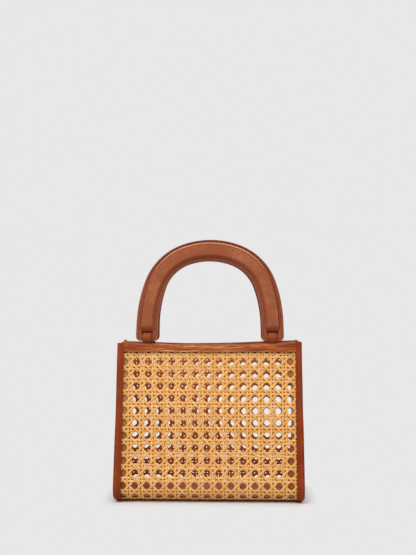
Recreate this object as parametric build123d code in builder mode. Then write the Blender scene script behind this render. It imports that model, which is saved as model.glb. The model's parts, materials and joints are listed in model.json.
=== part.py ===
"""Small box bag: two leaning cane-webbing walls, leather gussets and trim, and two arched padded handles.

Frame: millimetres, +Z up, the front faces -Y, the origin is at the middle of the base, on the ground.
"""
import os
from math import asin, atan2, cos, degrees, hypot, radians, sin, tan

from build123d import *

# Body: the front and back cane walls lean together towards the rim
base_depth = 92.4        # between the outer faces of the two walls, where they would meet the base
rim_depth = 36.4         # the same at the rim
wall_height = 166.3      # base to rim, measured upright
clear_width = 185.0      # cane that shows between the two edge bindings
corner_radius = 14.0     # outer bend of the cane under the wall

# Cane webbing: upright pairs of strands outside, level pairs inside, and a grid of gaps between them
cane_thickness = 2.4
column_pitch = 12.7      # gap to gap across
row_pitch = 13.19        # gap to gap up the wall
closed_columns = 1       # columns beside each binding that stay closed
pair_width = 6.0         # two strands side by side
slit_width = 0.8         # between the two strands
slit_depth = 0.6
front_shift = (3.7, 1.1)      # the grid of gaps is this far off the wall's middle, across and up
back_shift = (-4.4, 6.4)

# Leather of the body
gusset_leather = 1.2
binding_leather = 1.2
binding_width = 7.8
binding_head = 0.6       # how far a binding stands above the rim
binding_gap = 0.9        # between a binding's inner leg and the gusset's wall
band_leather = 1.2
band_height = 10.0
cane_grip = 5.0          # from the cane's top edge, inside the band, to the rim
lining_leather = 2.0
lining_wrap = 34.0       # degrees that the base lining climbs up each bend
lining_clearance = 0.3

# Handles: an arch of tangent arcs, sizes on its middle line
handle_width = 24.0
crown_radius = 78.0
crown_turn = 20.0
shoulder_radius = 54.0
shoulder_turn = 50.0
flank_radius = 138.0
flank_turn = 18.0
leg_run = 19.0           # straight end of each leg
facing_leather = 1.7
backing_leather = 1.7
end_radius = 4.6
outer_flange = 6.0       # flat leather outside the pad
inner_flange = 4.0       # flat leather inside the pad
pad_rise = 3.0
pad_slope = 2.2          # how far each side of the pad leans in
pad_setback = 16.0       # from the leg's end to the pad

# Loop tabs that carry the handles
bar_height = 6.0         # handle end below its slot, which the tab goes round
slot_width = 12.6
slot_height = 5.0
tab_width = 10.0
loop_sides = 14          # flats round a tab's loop
bar_clearance = 0.3
tab_clearance = 0.1
handle_clearance = 0.2   # from each handle to the middle plane, where the two lean together

# Worked out from the sizes above
overrun = base_depth     # cuts run past the part by this much
base_level = binding_leather
lean_in = (base_depth - rim_depth) / 2
slant = hypot(wall_height, lean_in)
lean = degrees(atan2(lean_in, wall_height))
bend_turn = 90 + lean
bend_reach = corner_radius * tan(radians(bend_turn) / 2)
front_face = Plane(
    origin=(0, -base_depth / 2, base_level),
    x_dir=(1, 0, 0),
    z_dir=(0, -cos(radians(lean)), sin(radians(lean))),
)
corner = (-base_depth / 2 + bend_reach, base_level + corner_radius)
flange_width = binding_width - binding_leather
cane_width = clear_width + 2 * flange_width
cane_top = slant - cane_grip
tab_leather = cane_thickness / 2  # the two tails of a tab fill the band's channel


def on_side(along, proud):
    """A point of the side view, `along` the front wall's slope and `proud` of its face."""
    place = front_face.from_local_coords((0, along, proud))
    return (place.Y, place.Z)


def base_half(proud, turn):
    """Front half of the base's side view, `proud` of the cane's face: a bend of `turn` degrees and a flat."""
    bend = CenterArc(corner, corner_radius + proud, 270 - turn, turn)
    flat = Line(bend @ 1, (0, base_level - proud))
    return bend, flat


def base_strip(outer, inner, turn):
    """A strip under the bag, `turn` degrees up each bend, between two distances from the cane's face."""
    with BuildLine() as half:
        outer_bend, outer_flat = base_half(outer, turn)
        inner_bend, inner_flat = base_half(inner, turn)
        Line(outer_bend @ 0, inner_bend @ 0)
        Line(outer_flat @ 1, inner_flat @ 1)
    make_face(half.edges())
    mirror(about=Plane.YZ)


def wall_strip(outer, inner, top):
    """A strip that follows front wall, base and back wall, between two distances from the cane's face."""
    with BuildLine() as half:
        outer_bend, outer_flat = base_half(outer, bend_turn)
        inner_bend, inner_flat = base_half(inner, bend_turn)
        Line(outer_bend @ 0, on_side(top, outer))
        Line(on_side(top, outer), on_side(top, inner))
        Line(on_side(top, inner), inner_bend @ 0)
        Line(outer_flat @ 1, inner_flat @ 1)
    make_face(half.edges())
    mirror(about=Plane.YZ)


# Cane wall: as many whole repeats of the weave as fit between the bindings, base bend and top band
window_low = bend_reach
window_high = slant - band_height
window_middle = (window_low + window_high) / 2
gap_columns = int(clear_width / column_pitch) - 2 * closed_columns
gap_rows = int((window_high - window_low) / row_pitch)
grid_width = gap_columns * column_pitch
grid_height = gap_rows * row_pitch
wall_middle = (window_low + cane_top) / 2
wall_length = cane_top - window_low


def cane_wall(shift):
    """A wall in the front's place: a closed edge, then pairs of strands that cross, with a slit along each."""
    grid_middle = (shift[0], window_middle + shift[1])
    with BuildPart() as wall:
        with BuildSketch(front_face):
            with Locations((0, wall_middle)):
                Rectangle(cane_width, wall_length)
            with Locations(grid_middle):
                Rectangle(grid_width - pair_width, grid_height - pair_width, mode=Mode.SUBTRACT)
        extrude(amount=-cane_thickness)
        with BuildSketch(front_face):
            with Locations(grid_middle):
                with GridLocations(column_pitch, row_pitch, gap_columns - 1, 1):
                    Rectangle(pair_width, grid_height)
        extrude(amount=-cane_thickness / 2)
        with BuildSketch(front_face.offset(-cane_thickness)):
            with Locations(grid_middle):
                with GridLocations(column_pitch, row_pitch, 1, gap_rows - 1):
                    Rectangle(grid_width, pair_width)
        extrude(amount=cane_thickness / 2)
        with BuildSketch(front_face):
            with Locations((shift[0], wall_middle)):
                with GridLocations(column_pitch, row_pitch, gap_columns + 1, 1):
                    Rectangle(slit_width, wall_length)
        extrude(amount=-slit_depth, mode=Mode.SUBTRACT)
        with BuildSketch(front_face.offset(-cane_thickness)):
            with Locations((0, window_middle + shift[1])):
                with GridLocations(column_pitch, row_pitch, 1, gap_rows + 1):
                    Rectangle(clear_width, slit_width)
        extrude(amount=slit_depth, mode=Mode.SUBTRACT)
    return wall


front_cane_panel = cane_wall(front_shift)
with BuildPart() as back_cane_panel:
    mirror(cane_wall(back_shift).part, about=Plane.XZ)

# Base of the cane: bends under from both walls
with BuildPart() as base_cane_panel:
    with BuildSketch(Plane.YZ):
        base_strip(0, -cane_thickness, bend_turn)
    extrude(amount=cane_width / 2, both=True)

# Base lining: a stiff leather sheet on the cane, with its long edges up the bends
with BuildPart() as base_lining:
    with BuildSketch(Plane.YZ):
        base_strip(-cane_thickness, -cane_thickness - lining_leather, lining_wrap)
    extrude(amount=clear_width / 2 - lining_clearance, both=True)

# Side gusset: a leather wall with its edge turned out behind the cane
with BuildPart() as right_gusset:
    with BuildSketch(Plane.YZ.offset(clear_width / 2)):
        with BuildLine():
            gusset_bend, gusset_flat = base_half(-cane_thickness, bend_turn)
            gusset_rim = on_side(slant, -cane_thickness)
            Line(gusset_bend @ 0, gusset_rim)
            gusset_head = Line(gusset_rim, (0, gusset_rim[1]))
            Line(gusset_head @ 1, gusset_flat @ 1)
        make_face()
        mirror(about=Plane.YZ)
    extrude(amount=gusset_leather)
    with BuildSketch(Plane.YZ.offset(clear_width / 2)):
        wall_strip(-cane_thickness, -cane_thickness - gusset_leather, slant)
    extrude(amount=flange_width)

with BuildPart() as left_gusset:
    mirror(right_gusset.part, about=Plane.YZ)

# Edge binding: one folded strip down the front, under the base and up the back, round cane and gusset
binding_top = slant + binding_head
binding_inside = -cane_thickness - gusset_leather
binding_inset = gusset_leather + binding_gap
with BuildPart() as right_edge_binding:
    with BuildSketch(Plane.YZ.offset(clear_width / 2)):
        wall_strip(binding_leather, 0, binding_top)
    extrude(amount=binding_width)
    with BuildSketch(Plane.YZ.offset(clear_width / 2 + binding_inset)):
        wall_strip(binding_inside, binding_inside - binding_leather, binding_top)
    extrude(amount=binding_width - binding_inset)
    with BuildSketch(Plane.YZ.offset(clear_width / 2 + flange_width)):
        wall_strip(binding_leather, binding_inside - binding_leather, binding_top)
    extrude(amount=binding_leather)

with BuildPart() as left_edge_binding:
    mirror(right_edge_binding.part, about=Plane.YZ)

# Handle outline: arcs from the crown down to a straight leg, and the place of its pivot
shoulder_end = crown_turn + shoulder_turn
turns = [radians(turn) for turn in (0, crown_turn, shoulder_end, shoulder_end + flank_turn)]
arcs = list(zip((crown_radius, shoulder_radius, flank_radius), turns, turns[1:]))
arch_drop = sum(radius * (cos(start) - cos(end)) for radius, start, end in arcs)
arch_reach = sum(radius * (sin(end) - sin(start)) for radius, start, end in arcs)
crown_height = arch_drop + leg_run * sin(turns[-1]) - bar_height / 2
leg_place = arch_reach + (leg_run - bar_height / 2) * cos(turns[-1])

loop_inner = hypot(bar_height / 2, max(facing_leather, backing_leather)) + bar_clearance
loop_outer = (loop_inner + tab_leather) / cos(radians(180 / loop_sides))
pivot_y, pivot_z = on_side(slant + loop_outer, -cane_thickness / 2)
handle_lean = asin((-pivot_y - backing_leather - handle_clearance) / (crown_height + handle_width / 2))
handle_face = Plane(
    origin=(0, pivot_y, pivot_z),
    x_dir=(1, 0, 0),
    z_dir=(0, -cos(handle_lean), sin(handle_lean)),
)


def handle_edge(side):
    """One edge of the right half of the arch, `side` outside its middle line."""
    crown = JernArc((0, crown_height + side), (1, 0), crown_radius + side, -crown_turn)
    shoulder = JernArc(crown @ 1, crown % 1, shoulder_radius + side, -shoulder_turn)
    flank = JernArc(shoulder @ 1, shoulder % 1, flank_radius + side, -flank_turn)
    leg = Line(flank @ 1, flank @ 1 + (flank % 1) * leg_run)
    return crown, leg


def handle_arch(outer, inner):
    """The whole arch between two edges, with square leg ends."""
    with BuildLine() as half:
        outer_crown, outer_leg = handle_edge(outer)
        inner_crown, inner_leg = handle_edge(inner)
        Line(outer_crown @ 0, inner_crown @ 0)
        Line(outer_leg @ 1, inner_leg @ 1)
    make_face(half.edges())
    mirror(about=Plane.YZ)


# Both leathers of a handle have one outline: round leg ends and a slot for each tab
with BuildSketch() as handle_outline:
    handle_arch(handle_width / 2, -handle_width / 2)
    fillet(handle_outline.vertices().sort_by(Axis.Y)[:4], end_radius)
    with Locations(*[(x, (bar_height + slot_height) / 2) for x in (-leg_place, leg_place)]):
        Rectangle(slot_width, slot_height, mode=Mode.SUBTRACT)


def pad_section(inset):
    """The pad between the two flanges, short of the slots, `inset` from its foot all round."""
    handle_arch(handle_width / 2 - outer_flange - inset, inner_flange - handle_width / 2 + inset)
    with Locations((0, pad_setback - bar_height / 2 + inset)):
        Rectangle(4 * leg_place, overrun, align=(Align.CENTER, Align.MAX), mode=Mode.SUBTRACT)


with BuildPart() as front_handle_facing:
    with BuildSketch(handle_face):
        add(handle_outline.sketch)
    extrude(amount=facing_leather)
    with BuildSketch(handle_face.offset(facing_leather)):
        pad_section(0)
    with BuildSketch(handle_face.offset(facing_leather + pad_rise)):
        pad_section(pad_slope)
    loft(ruled=True)

with BuildPart() as front_handle_backing:
    with BuildSketch(handle_face):
        add(handle_outline.sketch)
    extrude(amount=-backing_leather)

with BuildPart() as back_handle_facing:
    mirror(front_handle_facing.part, about=Plane.XZ)

with BuildPart() as back_handle_backing:
    mirror(front_handle_backing.part, about=Plane.XZ)

# Top band: leather folded over the wall's top edge, slit where the tabs go in
with BuildPart() as front_top_band:
    with BuildSketch(front_face.offset(band_leather)):
        with Locations((0, slant)):
            Rectangle(clear_width, band_height, align=(Align.CENTER, Align.MAX))
    extrude(amount=-cane_thickness - 2 * band_leather)
    with BuildSketch(front_face):
        with Locations((0, slant - band_leather)):
            Rectangle(clear_width, overrun, align=(Align.CENTER, Align.MAX))
        with Locations(*[(x, slant) for x in (-leg_place, leg_place)]):
            Rectangle(tab_width + 2 * tab_clearance, 2 * cane_grip)
    extrude(amount=-cane_thickness, mode=Mode.SUBTRACT)

with BuildPart() as back_top_band:
    mirror(front_top_band.part, about=Plane.XZ)

# Loop tab: a strap round the handle's end bar, its two tails side by side in the band
tail_length = slant + loop_outer - cane_top
with BuildPart() as front_right_tab:
    with BuildSketch(Plane.YZ.offset(leg_place - tab_width / 2)):
        with Locations((pivot_y, pivot_z)):
            RegularPolygon(loop_outer, loop_sides)
        with Locations(on_side(cane_top + tail_length / 2, -cane_thickness / 2)):
            Rectangle(cane_thickness, tail_length, rotation=-lean)
        with Locations((pivot_y, pivot_z)):
            RegularPolygon(loop_inner, loop_sides, major_radius=False, mode=Mode.SUBTRACT)
    extrude(amount=tab_width)

with BuildPart() as front_left_tab:
    mirror(front_right_tab.part, about=Plane.YZ)

with BuildPart() as back_right_tab:
    mirror(front_right_tab.part, about=Plane.XZ)

with BuildPart() as back_left_tab:
    mirror(front_left_tab.part, about=Plane.XZ)

pieces = {
    "front_cane_panel": front_cane_panel,
    "back_cane_panel": back_cane_panel,
    "base_cane_panel": base_cane_panel,
    "base_lining": base_lining,
    "left_gusset": left_gusset,
    "right_gusset": right_gusset,
    "left_edge_binding": left_edge_binding,
    "right_edge_binding": right_edge_binding,
    "front_top_band": front_top_band,
    "back_top_band": back_top_band,
    "front_left_tab": front_left_tab,
    "front_right_tab": front_right_tab,
    "back_left_tab": back_left_tab,
    "back_right_tab": back_right_tab,
    "front_handle_facing": front_handle_facing,
    "front_handle_backing": front_handle_backing,
    "back_handle_facing": back_handle_facing,
    "back_handle_backing": back_handle_backing,
}
os.makedirs("parts", exist_ok=True)
for name, piece in pieces.items():
    piece.part.label = name
    export_step(piece.part, f"parts/{name}.step")

print("pivot y, z", round(pivot_y, 3), round(pivot_z, 3), "tab x", round(leg_place, 3))
print("handle lean", round(degrees(handle_lean), 3), "wall lean", round(lean, 3), "slant", round(slant, 3))
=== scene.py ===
import json

import bpy
import numpy as np
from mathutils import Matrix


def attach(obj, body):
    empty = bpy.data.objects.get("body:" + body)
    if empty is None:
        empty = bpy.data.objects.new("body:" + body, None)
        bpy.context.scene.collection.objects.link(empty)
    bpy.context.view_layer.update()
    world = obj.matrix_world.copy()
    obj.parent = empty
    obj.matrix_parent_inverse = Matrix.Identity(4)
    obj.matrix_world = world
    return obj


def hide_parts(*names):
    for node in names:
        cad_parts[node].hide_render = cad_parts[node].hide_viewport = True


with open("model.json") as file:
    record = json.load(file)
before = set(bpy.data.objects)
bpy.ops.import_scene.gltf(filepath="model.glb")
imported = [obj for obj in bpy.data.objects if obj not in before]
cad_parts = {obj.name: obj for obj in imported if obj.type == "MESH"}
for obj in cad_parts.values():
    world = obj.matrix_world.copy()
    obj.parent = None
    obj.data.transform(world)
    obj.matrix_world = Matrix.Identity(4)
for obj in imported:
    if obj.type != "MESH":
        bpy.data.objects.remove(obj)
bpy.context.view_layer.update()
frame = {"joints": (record.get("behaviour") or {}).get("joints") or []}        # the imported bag, which stays where it is
mm = 0.001
chance = np.random.default_rng(41)       # seeded, so that every run makes the same bag

# Body, in millimetres: two walls that lean together, with a round bend under each
bag = {
    "baseDepth": 92.4,       # between the walls' outer faces, where they would meet the base
    "rimDepth": 36.4,
    "wallHeight": 166.3,
    "bendRadius": 14.0,
    "clearWidth": 185.0,     # cane that shows between the two bindings
    "cane": 2.4,             # thickness of the webbing
    "leather": 1.2,
}
halfWidth = bag["clearWidth"] / 2
leanIn = (bag["baseDepth"] - bag["rimDepth"]) / 2
lean = np.arctan2(leanIn, bag["wallHeight"])
slant = np.hypot(leanIn, bag["wallHeight"])
bendTurn = np.pi / 2 + lean
bendReach = bag["bendRadius"] * np.tan(bendTurn / 2)
slopeRun = slant - bendReach             # rim to bend
bendRun = bag["bendRadius"] * bendTurn
flatHalf = bag["baseDepth"] / 2 - bendReach
flatStart = slopeRun + bendRun           # rim to the flat of the base
fullRun = 2 * (flatStart + flatHalf)     # front rim to back rim


def fromRim(s):                          # distance to the nearer rim, down the cane
    return np.minimum(s, fullRun - s)


# Point of the body: x across, s along the cane's outer face from the front rim, proud outside that face.
# The wall's straight, the bend's arc and the flat are added up, each clipped to its own stretch of s
def wallPoint(x, s, proud):
    x, s, proud = np.broadcast_arrays(x, s, proud)
    side = np.where(s > fullRun / 2, 1.0, -1.0)
    down = fromRim(s)
    rise = slopeRun - np.minimum(down, slopeRun)
    angle = lean - np.clip(down - slopeRun, 0, bendRun) / bag["bendRadius"]
    flat = np.maximum(down - flatStart, 0)
    reach = bag["bendRadius"] + proud
    y = flatHalf + reach * np.cos(angle) - rise * np.sin(lean) - flat
    z = bag["leather"] + bag["bendRadius"] + reach * np.sin(angle) + rise * np.cos(lean)
    return np.stack([x, side * y, z], -1)


# Distances from rim to rim, evenly spaced on each stretch: wall, bend, flat and the same back up
def runGrid(start, wall, bend, flat):
    down = np.concatenate([np.linspace(start, slopeRun, wall), np.linspace(slopeRun, flatStart, bend)[1:]])
    under = np.linspace(flatStart, fullRun - flatStart, flat)[1:-1]
    return np.concatenate([down, under, fullRun - down[::-1]])


def mirrored(points, face):              # front pieces are face -1; the back ones are their mirror
    return points * np.array([1.0, -face, 1.0])


# Sum of three slow sine waves with random phases, about -1 to 1: the unevenness of hand work
def wander(along, length):
    phase = chance.uniform(0, 2 * np.pi, 3)
    waves = [np.sin(2 * np.pi * along * k / length + phase[k - 1]) / k for k in (1, 2, 3)]
    return sum(waves) / 1.5


def smooth(value, low, high):            # cubic step from 0 at low to 1 at high
    t = np.clip((value - low) / (high - low), 0, 1)
    return t * t * (3 - 2 * t)


def bell(value, width):                  # 1 at zero, falling off on both sides over width
    return np.exp(-(value / width) ** 2)


# Mesh from points in millimetres and corner numbers; faces are turned outwards by the sign of the volume
def newPiece(name, points, quads, materials, which=None, tone=None, uv=None, extra=None):
    points = np.asarray(points, float).reshape(-1, 3)
    a, b, c, d = (points[quads[:, k]] for k in range(4))
    volume = (a * np.cross(b, c)).sum() + (a * np.cross(c, d)).sum()
    if volume < 0:
        quads = quads[:, ::-1]
    mesh = bpy.data.meshes.new(name)
    mesh.from_pydata((points * mm).tolist(), [], quads.tolist(), shade_flat=False)
    for material in materials:
        mesh.materials.append(material)
    if which is not None:
        mesh.polygons.foreach_set("material_index", np.asarray(which, np.int32))
    fields = {"tone": np.full(len(points), 0.5) if tone is None else tone, **(extra or {})}
    for key, value in fields.items():
        field = mesh.attributes.new(key, "FLOAT", "POINT")
        field.data.foreach_set("value", np.asarray(value, np.float32).ravel())
    if uv is not None:
        layer = mesh.uv_layers.new(name="strand")
        layer.data.foreach_set("uv", np.asarray(uv, np.float32).reshape(-1, 2)[quads.ravel()].ravel())
    mesh.update()
    piece = bpy.data.objects.new(name, mesh)
    bpy.context.scene.collection.objects.link(piece)
    return piece


# Leather slab: two sheets on one grid, joined by walls along every edge that only one cell uses.
# The cells that keep leaves out are slots, and the walls take the last material
def slab(name, top, bottom, materials, keep=None, tone=None, bevel=0.3):
    rows, columns = top.shape[:2]
    count = rows * columns
    number = np.arange(count).reshape(rows, columns)
    cells = np.stack([number[:-1, :-1], number[1:, :-1], number[1:, 1:], number[:-1, 1:]], -1)
    cells = cells.reshape(-1, 4) if keep is None else cells[keep]
    start, end = cells.ravel(), np.roll(cells, -1, 1).ravel()
    key = np.minimum(start, end) * count + np.maximum(start, end)
    place, uses = np.unique(key, return_index=True, return_counts=True)[1:]
    rim = place[uses == 1]
    walls = np.stack([end[rim], start[rim], start[rim] + count, end[rim] + count], -1)
    quads = np.concatenate([cells, cells[:, ::-1] + count, walls])
    which = np.concatenate([np.zeros(2 * len(cells), int), np.full(len(walls), len(materials) - 1)])
    used = np.unique(quads)
    fresh = np.zeros(2 * count, int)
    fresh[used] = np.arange(len(used))
    points = np.concatenate([top.reshape(-1, 3), bottom.reshape(-1, 3)])[used]
    shade = None if tone is None else np.concatenate([tone.ravel(), tone.ravel()])[used]
    piece = newPiece(name, points, fresh[quads], materials, which, shade)
    cut = piece.modifiers.new("burnished edge", "BEVEL")
    cut.width = bevel * mm
    cut.segments = 2
    cut.limit_method = "ANGLE"
    cut.angle_limit = np.deg2rad(50)
    return piece


# Corner numbers of a tube of rings, closed round and capped by a ladder of faces at both ends
def tubeQuads(rings, sides):
    number = np.arange(rings * sides).reshape(rings, sides)
    beside = np.roll(number, -1, 1)
    skin = np.stack([number[:-1], beside[:-1], beside[1:], number[1:]], -1).reshape(-1, 4)
    step = np.arange(sides // 2 - 1)
    cap = np.stack([step, sides - 1 - step, sides - 2 - step, step + 1], -1)
    return np.concatenate([skin, cap, cap[:, ::-1] + (rings - 1) * sides])


# Piece's place in the part: the body it rides on and the solids it stands for, which are hidden
def settle(piece, body, replaced=()):
    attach(piece, body)
    if replaced:
        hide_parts(*replaced)


def hexColour(code):                     # sRGB hex to linear
    srgb = np.array([int(code[k:k + 2], 16) for k in (1, 3, 5)]) / 255
    linear = np.where(srgb <= 0.04045, srgb / 12.92, ((srgb + 0.055) / 1.055) ** 2.4)
    return (*linear.tolist(), 1.0)


# One node with its settings and links: a key that is a socket's name or number sets that socket
def addNode(tree, kind, settings=None, links=None):
    node = tree.nodes.new(kind)
    for key, value in (settings or {}).items():
        if isinstance(key, int) or key in node.inputs:
            node.inputs[key].default_value = value
        else:
            setattr(node, key, value)
    for key, output in (links or {}).items():
        tree.links.new(output, node.inputs[key])
    return node


def newMaterial(name):                   # with its node tree and the shader that is already in it
    material = bpy.data.materials.new(name)
    material.use_nodes = True
    tree = material.node_tree
    return material, tree, tree.nodes["Principled BSDF"]


def setRamp(node, places, colours):      # hex colours at places from 0 to 1
    ramp = node.color_ramp
    for place in places[1:-1]:
        ramp.elements.new(place)
    for element, place, colour in zip(ramp.elements, places, colours):
        element.position = place
        element.color = hexColour(colour)


# Full-grain cow leather, vegetable tanned, dyed and waxed: fine pebbled grain with a soft waxy sheen,
# dye that clouds over a few centimetres, and lighter lines where it is creased or pulled over an edge
leatherLook = {
    "cloud": 14.0,           # size of the dye's clouds, in millimetres like the next two
    "fleck": 1.6,
    "pebble": 1.1,           # grain, drawn coarser than it is so that it shows
    "rise": 0.12,            # of a pebble
    "riseShare": 0.35,       # of it that the bump shows
    "wax": (-0.08, 0.1),     # least and most, on top of the leather's own roughness
    "places": (0.15, 0.5, 0.9),          # of the dark, middle and light dye on the tone's scale
    "ior": 1.45,
    "shine": 0.2,
}


# Tone of the piece plus clouds and flecks, both about zero on average, read off a ramp of three dyes
def leatherMaterial(name, dyes, roughness, clouding=0.55, flecks=0.4):
    material, tree, skin = newMaterial(name)
    sizes = ("cloud", "fleck", "pebble")
    cloudScale, fleckScale, pebbleScale = (1 / (leatherLook[key] * mm) for key in sizes)
    place = addNode(tree, "ShaderNodeTexCoord").outputs["Object"]
    tone = addNode(tree, "ShaderNodeAttribute", {"attribute_name": "tone"}).outputs["Fac"]
    clouds = addNode(tree, "ShaderNodeTexNoise", {"Scale": cloudScale, "Detail": 3.0}, {"Vector": place})
    speck = addNode(tree, "ShaderNodeTexNoise", {"Scale": fleckScale, "Detail": 2.0}, {"Vector": place})
    pebble = addNode(tree, "ShaderNodeTexVoronoi", {"Scale": pebbleScale}, {"Vector": place})
    dye = addNode(tree, "ShaderNodeMath", {"operation": "MULTIPLY_ADD", 1: clouding, 2: -clouding / 2},
                  {0: clouds.outputs["Fac"]})
    fine = addNode(tree, "ShaderNodeMath", {"operation": "MULTIPLY_ADD", 1: flecks},
                   {0: speck.outputs["Fac"], 2: dye.outputs[0]})
    level = addNode(tree, "ShaderNodeMath", {"operation": "ADD"}, {0: fine.outputs[0], 1: tone})
    shift = addNode(tree, "ShaderNodeMath", {"operation": "SUBTRACT", 1: flecks / 2}, {0: level.outputs[0]})
    ramp = addNode(tree, "ShaderNodeValToRGB", None, {"Fac": shift.outputs[0]})
    setRamp(ramp, leatherLook["places"], dyes)
    tree.links.new(ramp.outputs["Color"], skin.inputs["Base Color"])
    least, most = leatherLook["wax"]
    wax = addNode(tree, "ShaderNodeMapRange", {"To Min": roughness + least, "To Max": roughness + most},
                  {"Value": speck.outputs["Fac"]})
    tree.links.new(wax.outputs["Result"], skin.inputs["Roughness"])
    bump = addNode(tree, "ShaderNodeBump",
                   {"Strength": leatherLook["riseShare"], "Distance": leatherLook["rise"] * mm},
                   {"Height": pebble.outputs["Distance"]})
    tree.links.new(bump.outputs["Normal"], skin.inputs["Normal"])
    skin.inputs["IOR"].default_value = leatherLook["ior"]
    skin.inputs["Specular IOR Level"].default_value = leatherLook["shine"]
    return material


# Split rattan bark, woven wet and varnished: honey-coloured glossy strips, each a little lighter or darker,
# with fibre lines along them, brown cut edges that also carry painted shade between the strands, and a dull
# red-brown pith side inside the bag
caneLook = {
    "fibre": 1.6,
    "fibreDraw": (3.0, 0.12, 1.0),       # on the strand's own millimetres: fibres 0.2 across and 5 along
    "patch": 0.09,                       # lighter and darker stretches of about 11
    "fibreShare": 0.5, "patchShare": 0.5,
    "places": (0.1, 0.5, 0.9), "honey": ("#d18d3d", "#eaac5c", "#f8cd8a"),
    # cut edge colour: the cane's own cut edge, darkened further as painted shade between the strands
    "cutEdgeAndShade": "#b9722f", "pith": "#dd7f2c",
    "gloss": (0.3, 0.5),                 # roughness, least and most
    "rise": 0.08, "riseShare": 0.3,      # of a fibre, and how much of it the bump shows
    "ior": 1.5,
}


# Strand's tone plus fibres and patches, read off a ramp; mixed with the cut edge's colour, which is partly
# painted shade between strands, then the pith's
def caneMaterial():
    material, tree, skin = newMaterial("rattan cane, split and woven")
    flow = addNode(tree, "ShaderNodeUVMap", {"uv_map": "strand"}).outputs["UV"]
    tone, bark, edge = (addNode(tree, "ShaderNodeAttribute", {"attribute_name": key}).outputs["Fac"]
                        for key in ("tone", "bark", "edge"))
    stretch = addNode(tree, "ShaderNodeMapping", {"Scale": caneLook["fibreDraw"]}, {"Vector": flow})
    fibre = addNode(tree, "ShaderNodeTexNoise", {"Scale": caneLook["fibre"], "Detail": 4.0},
                    {"Vector": stretch.outputs[0]})
    patch = addNode(tree, "ShaderNodeTexNoise", {"Scale": caneLook["patch"], "Detail": 2.0}, {"Vector": flow})
    mixed = addNode(tree, "ShaderNodeMath", {"operation": "MULTIPLY_ADD", 1: caneLook["fibreShare"]},
                    {0: fibre.outputs["Fac"], 2: tone})
    level = addNode(tree, "ShaderNodeMath", {"operation": "MULTIPLY_ADD", 1: caneLook["patchShare"]},
                    {0: patch.outputs["Fac"], 2: mixed.outputs[0]})
    average = (caneLook["fibreShare"] + caneLook["patchShare"]) / 2
    shift = addNode(tree, "ShaderNodeMath", {"operation": "SUBTRACT", 1: average}, {0: level.outputs[0]})
    honey = addNode(tree, "ShaderNodeValToRGB", None, {"Fac": shift.outputs[0]})
    setRamp(honey, caneLook["places"], caneLook["honey"])
    cut = addNode(tree, "ShaderNodeMix", {"data_type": "RGBA", 7: hexColour(caneLook["cutEdgeAndShade"])},
                  {0: edge, 6: honey.outputs["Color"]})
    sides = addNode(tree, "ShaderNodeMix", {"data_type": "RGBA", 6: hexColour(caneLook["pith"])},
                    {0: bark, 7: cut.outputs[2]})
    tree.links.new(sides.outputs[2], skin.inputs["Base Color"])
    least, most = caneLook["gloss"]
    gloss = addNode(tree, "ShaderNodeMapRange", {"To Min": least, "To Max": most},
                    {"Value": fibre.outputs["Fac"]})
    tree.links.new(gloss.outputs["Result"], skin.inputs["Roughness"])
    bump = addNode(tree, "ShaderNodeBump",
                   {"Strength": caneLook["riseShare"], "Distance": caneLook["rise"] * mm},
                   {"Height": fibre.outputs["Fac"]})
    tree.links.new(bump.outputs["Normal"], skin.inputs["Normal"])
    skin.inputs["IOR"].default_value = caneLook["ior"]
    return material


# Waxed polyester thread, twisted from three plies: fine slanting ply lines and a dull wax gloss,
# painted shade where it dips into its holes
threadLook = {
    "ply": 4.5,              # wave's unit in millimetres: a ply every 1.4, drawn coarse so that it shows
    "places": (0.1, 0.9), "plies": ("#6e3217", "#a05c36"),
    # colour of the painted shade in the stitch holes
    "hole": "#341204",
    "roughness": 0.55,
}


# Bands of a wave texture between the two ply colours, mixed into the holes' painted shade as the tone falls
def threadMaterial():
    material, tree, skin = newMaterial("waxed polyester thread, brown")
    place = addNode(tree, "ShaderNodeTexCoord").outputs["Object"]
    plies = addNode(tree, "ShaderNodeTexWave", {"Scale": 1 / (threadLook["ply"] * mm), "Distortion": 1.0},
                    {"Vector": place})
    ramp = addNode(tree, "ShaderNodeValToRGB", None, {"Fac": plies.outputs["Fac"]})
    setRamp(ramp, threadLook["places"], threadLook["plies"])
    tone = addNode(tree, "ShaderNodeAttribute", {"attribute_name": "tone"}).outputs["Fac"]
    shadedInHole = addNode(tree, "ShaderNodeMix", {"data_type": "RGBA", 6: hexColour(threadLook["hole"])},
                     {0: tone, 7: ramp.outputs["Color"]})
    tree.links.new(shadedInHole.outputs[2], skin.inputs["Base Color"])
    skin.inputs["Roughness"].default_value = threadLook["roughness"]
    return material


cane = caneMaterial()
bindingLeather = leatherMaterial("waxed cow leather, edge binding", ("#691d04", "#842e08", "#9d4112"),
                                 roughness=0.46)
bandLeather = leatherMaterial("waxed cow leather, creased rim band", ("#78310c", "#a65729", "#e6a270"),
                              roughness=0.44, clouding=0.3)
handleLeather = leatherMaterial("waxed cow leather, padded handle", ("#692108", "#945030", "#ffb184"),
                                roughness=0.42, clouding=0.15, flecks=0.16)
# Split leather has no grain side: paler and duller
gussetLeather = leatherMaterial("split cow leather, gusset", ("#8f542c", "#ab6d3f", "#c68a58"),
                                roughness=0.6)
# Suede nap scatters the light: dullest of all
liningLeather = leatherMaterial("suede-backed leather, base lining", ("#a5644d", "#bd7a62", "#e0a48c"),
                                roughness=0.7, clouding=0.3)
# Edge paint seals a cut edge and is sanded: dark and smooth
edgePaint = leatherMaterial("edge paint on leather, sanded", ("#56210f", "#6d2d12", "#85401d"),
                            roughness=0.38)
# Cut edge without paint: pale fibres from inside the hide
rawEdge = leatherMaterial("cut leather edge, unpainted", ("#b5602c", "#cb7a42", "#dc965f"),
                          roughness=0.65)
thread = threadMaterial()
print("materials made")

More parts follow.
